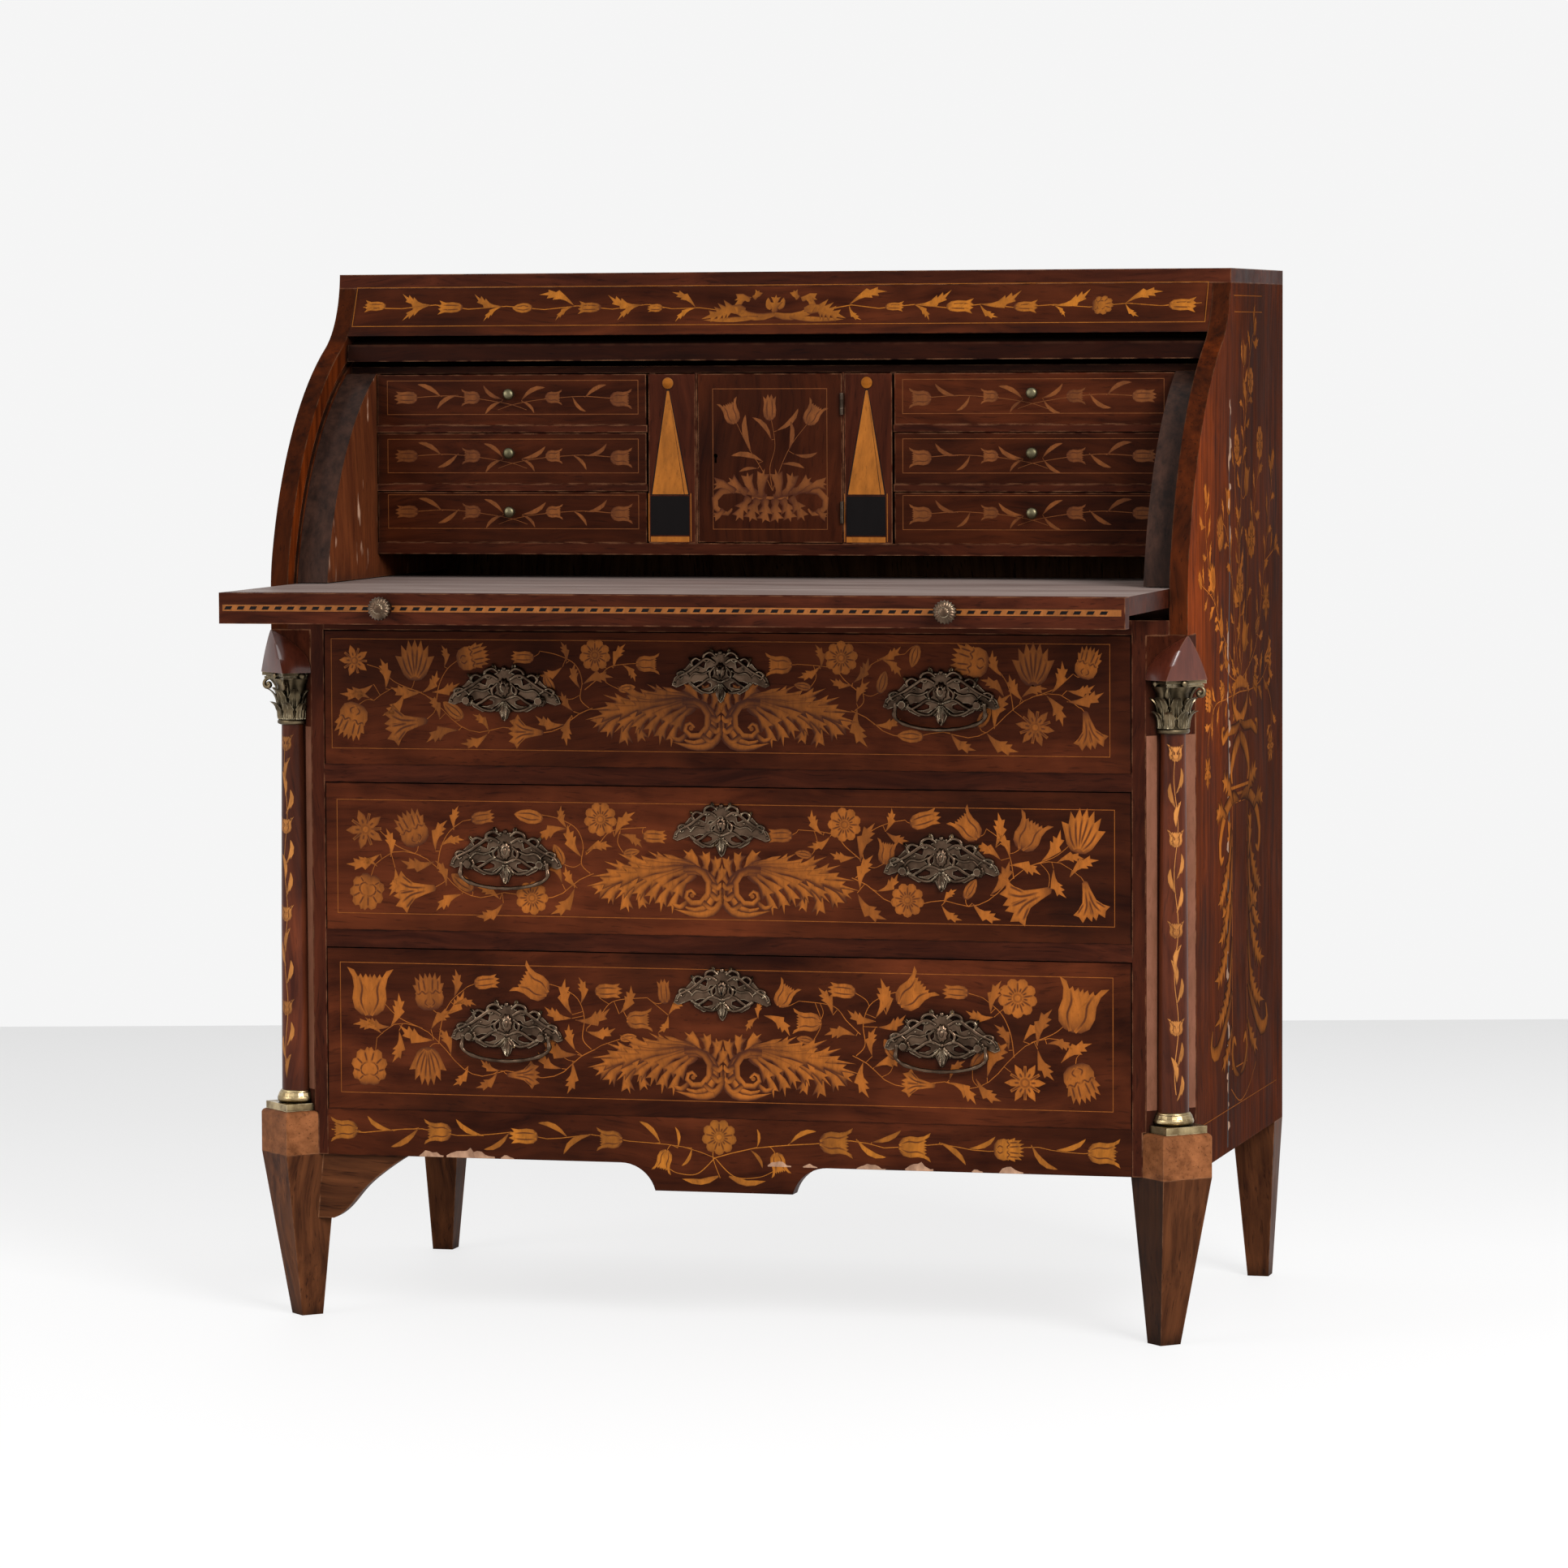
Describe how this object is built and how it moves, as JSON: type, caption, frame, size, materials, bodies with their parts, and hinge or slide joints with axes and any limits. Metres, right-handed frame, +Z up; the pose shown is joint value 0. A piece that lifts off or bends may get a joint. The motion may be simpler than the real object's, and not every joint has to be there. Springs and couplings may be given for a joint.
{
  "type": "roll-top bureau",
  "caption": "Marquetry writing desk with a curved cylinder fall, pull-out writing slide, fitted gallery of small drawers, long drawers, canted corners with columns and tapered legs.",
  "frame": {"origin": "on the floor, in the middle of the bounding box with the writing slide drawn out", "axes": "+X to the right as seen from the front, +Y to the back, +Z up"},
  "size_m": [1.08, 0.819, 1.16],
  "materials": {
    "marquetry_wood": "polished mahogany veneer with marquetry",
    "plain_wood": "polished mahogany",
    "corner_wood": "polished walnut and mahogany",
    "light_wood": "plain oak and pine, waxed",
    "grey_wood": "dark stained edge",
    "brass": "polished brass",
    "old_brass": "dark cast brass with worn edges"
  },
  "bodies": {
    "case": {"apron": "marquetry_wood", "back_leg_left": "plain_wood", "back_leg_right": "plain_wood", "back_panel": "light_wood", "bottom_board": "light_wood", "capitals": "old_brass", "cheeks": "grey_wood", "column_bases": "brass", "column_left": "plain_wood", "column_right": "plain_wood", "corner_caps": "plain_wood", "corner_posts": "marquetry_wood", "door_hinge_fixed": "brass", "drawer_guides": "light_wood", "drawer_rail_lower": "marquetry_wood", "drawer_rail_upper": "marquetry_wood", "foot_blocks": "corner_wood", "frieze": "marquetry_wood", "front_leg_left": "corner_wood", "front_leg_right": "corner_wood", "gallery_back": "light_wood", "gallery_base": "grey_wood", "gallery_partitions": "grey_wood", "gallery_shelves": "grey_wood", "gallery_top": "grey_wood", "leg_bracket_left": "corner_wood", "side_left": "marquetry_wood", "side_right": "marquetry_wood", "slide_bed": "light_wood", "top_board": "marquetry_wood"},
    "writing_slide": {"slide_board": "light_wood", "slide_fascia": "marquetry_wood", "slide_knobs": "brass"},
    "cylinder_fall": {"fall_shell": "marquetry_wood", "fall_rail": "marquetry_wood"},
    "long_drawer_1": {"drawer_1_front": "marquetry_wood", "drawer_1_box": "light_wood", "drawer_1_plates": "old_brass"},
    "long_drawer_2": {"drawer_2_front": "marquetry_wood", "drawer_2_box": "light_wood", "drawer_2_plates": "old_brass"},
    "long_drawer_3": {"drawer_3_front": "marquetry_wood", "drawer_3_box": "light_wood", "drawer_3_plates": "old_brass"},
    "bail_1_right": {"bail_1_right": "old_brass"},
    "bail_2_left": {"bail_2_left": "old_brass"},
    "bail_3_left": {"bail_3_left": "old_brass"},
    "bail_3_right": {"bail_3_right": "old_brass"},
    "keyhole_cover": {"keyhole_cover": "old_brass"},
    "cupboard_door": {"cupboard_door": "marquetry_wood", "door_hinge_moving": "brass"},
    "document_box_left": {"document_box_left": "marquetry_wood"},
    "document_box_right": {"document_box_right": "marquetry_wood"},
    "small_drawer_left_bottom": {"small_drawer_left_bottom": "marquetry_wood"},
    "small_drawer_left_middle": {"small_drawer_left_middle": "marquetry_wood"},
    "small_drawer_left_top": {"small_drawer_left_top": "marquetry_wood"},
    "small_drawer_right_bottom": {"small_drawer_right_bottom": "marquetry_wood"},
    "small_drawer_right_middle": {"small_drawer_right_middle": "marquetry_wood"},
    "small_drawer_right_top": {"small_drawer_right_top": "marquetry_wood"}
  },
  "joints": [
    {"name": "writing_slide_travel", "type": "slide", "parent": "case", "child": "writing_slide", "axis": [0, -1, 0], "range_m": [-0.228, 0]},
    {"name": "cylinder_fall_turn", "type": "hinge", "parent": "case", "child": "cylinder_fall", "pos_m": [0, 0.2075, 0.74401], "axis": [-1, 0, 0], "range_deg": [-51.97, 0]},
    {"name": "long_drawer_1_travel", "type": "slide", "parent": "case", "child": "long_drawer_1", "axis": [0, -1, 0], "range_m": [0, 0.36]},
    {"name": "long_drawer_2_travel", "type": "slide", "parent": "case", "child": "long_drawer_2", "axis": [0, -1, 0], "range_m": [0, 0.36]},
    {"name": "long_drawer_3_travel", "type": "slide", "parent": "case", "child": "long_drawer_3", "axis": [0, -1, 0], "range_m": [0, 0.36]},
    {"name": "bail_1_right_swing", "type": "hinge", "parent": "long_drawer_1", "child": "bail_1_right", "pos_m": [0.2465, -0.1645, 0.68945], "axis": [-1, 0, 0], "range_deg": [0, 95]},
    {"name": "bail_2_left_swing", "type": "hinge", "parent": "long_drawer_2", "child": "bail_2_left", "pos_m": [-0.2465, -0.1645, 0.50945], "axis": [-1, 0, 0], "range_deg": [0, 95]},
    {"name": "bail_3_left_swing", "type": "hinge", "parent": "long_drawer_3", "child": "bail_3_left", "pos_m": [-0.2465, -0.1645, 0.3185], "axis": [-1, 0, 0], "range_deg": [0, 95]},
    {"name": "bail_3_right_swing", "type": "hinge", "parent": "long_drawer_3", "child": "bail_3_right", "pos_m": [0.2465, -0.1645, 0.3185], "axis": [-1, 0, 0], "range_deg": [0, 95]},
    {"name": "keyhole_cover_swing", "type": "hinge", "parent": "long_drawer_2", "child": "keyhole_cover", "pos_m": [0, -0.1585, 0.56305], "axis": [0, -1, 0], "range_deg": [0, 110]},
    {"name": "small_drawer_left_bottom_travel", "type": "slide", "parent": "case", "child": "small_drawer_left_bottom", "axis": [0, -1, 0], "range_m": [0, 0.2]},
    {"name": "small_drawer_left_middle_travel", "type": "slide", "parent": "case", "child": "small_drawer_left_middle", "axis": [0, -1, 0], "range_m": [0, 0.2]},
    {"name": "small_drawer_left_top_travel", "type": "slide", "parent": "case", "child": "small_drawer_left_top", "axis": [0, -1, 0], "range_m": [0, 0.2]},
    {"name": "small_drawer_right_bottom_travel", "type": "slide", "parent": "case", "child": "small_drawer_right_bottom", "axis": [0, -1, 0], "range_m": [0, 0.2]},
    {"name": "small_drawer_right_middle_travel", "type": "slide", "parent": "case", "child": "small_drawer_right_middle", "axis": [0, -1, 0], "range_m": [0, 0.2]},
    {"name": "small_drawer_right_top_travel", "type": "slide", "parent": "case", "child": "small_drawer_right_top", "axis": [0, -1, 0], "range_m": [0, 0.2]},
    {"name": "document_box_left_travel", "type": "slide", "parent": "case", "child": "document_box_left", "axis": [0, -1, 0], "range_m": [0, 0.2]},
    {"name": "document_box_right_travel", "type": "slide", "parent": "case", "child": "document_box_right", "axis": [0, -1, 0], "range_m": [0, 0.2]},
    {"name": "cupboard_door_swing", "type": "hinge", "parent": "case", "child": "cupboard_door", "pos_m": [0.08365, 0.0532, 0.856], "axis": [0, 0, 1], "range_deg": [0, 90]}
  ],
  "couplings": [
    {"joint": "cylinder_fall_turn", "follows": "writing_slide_travel", "rad_per_m": 3.9767}
  ]
}
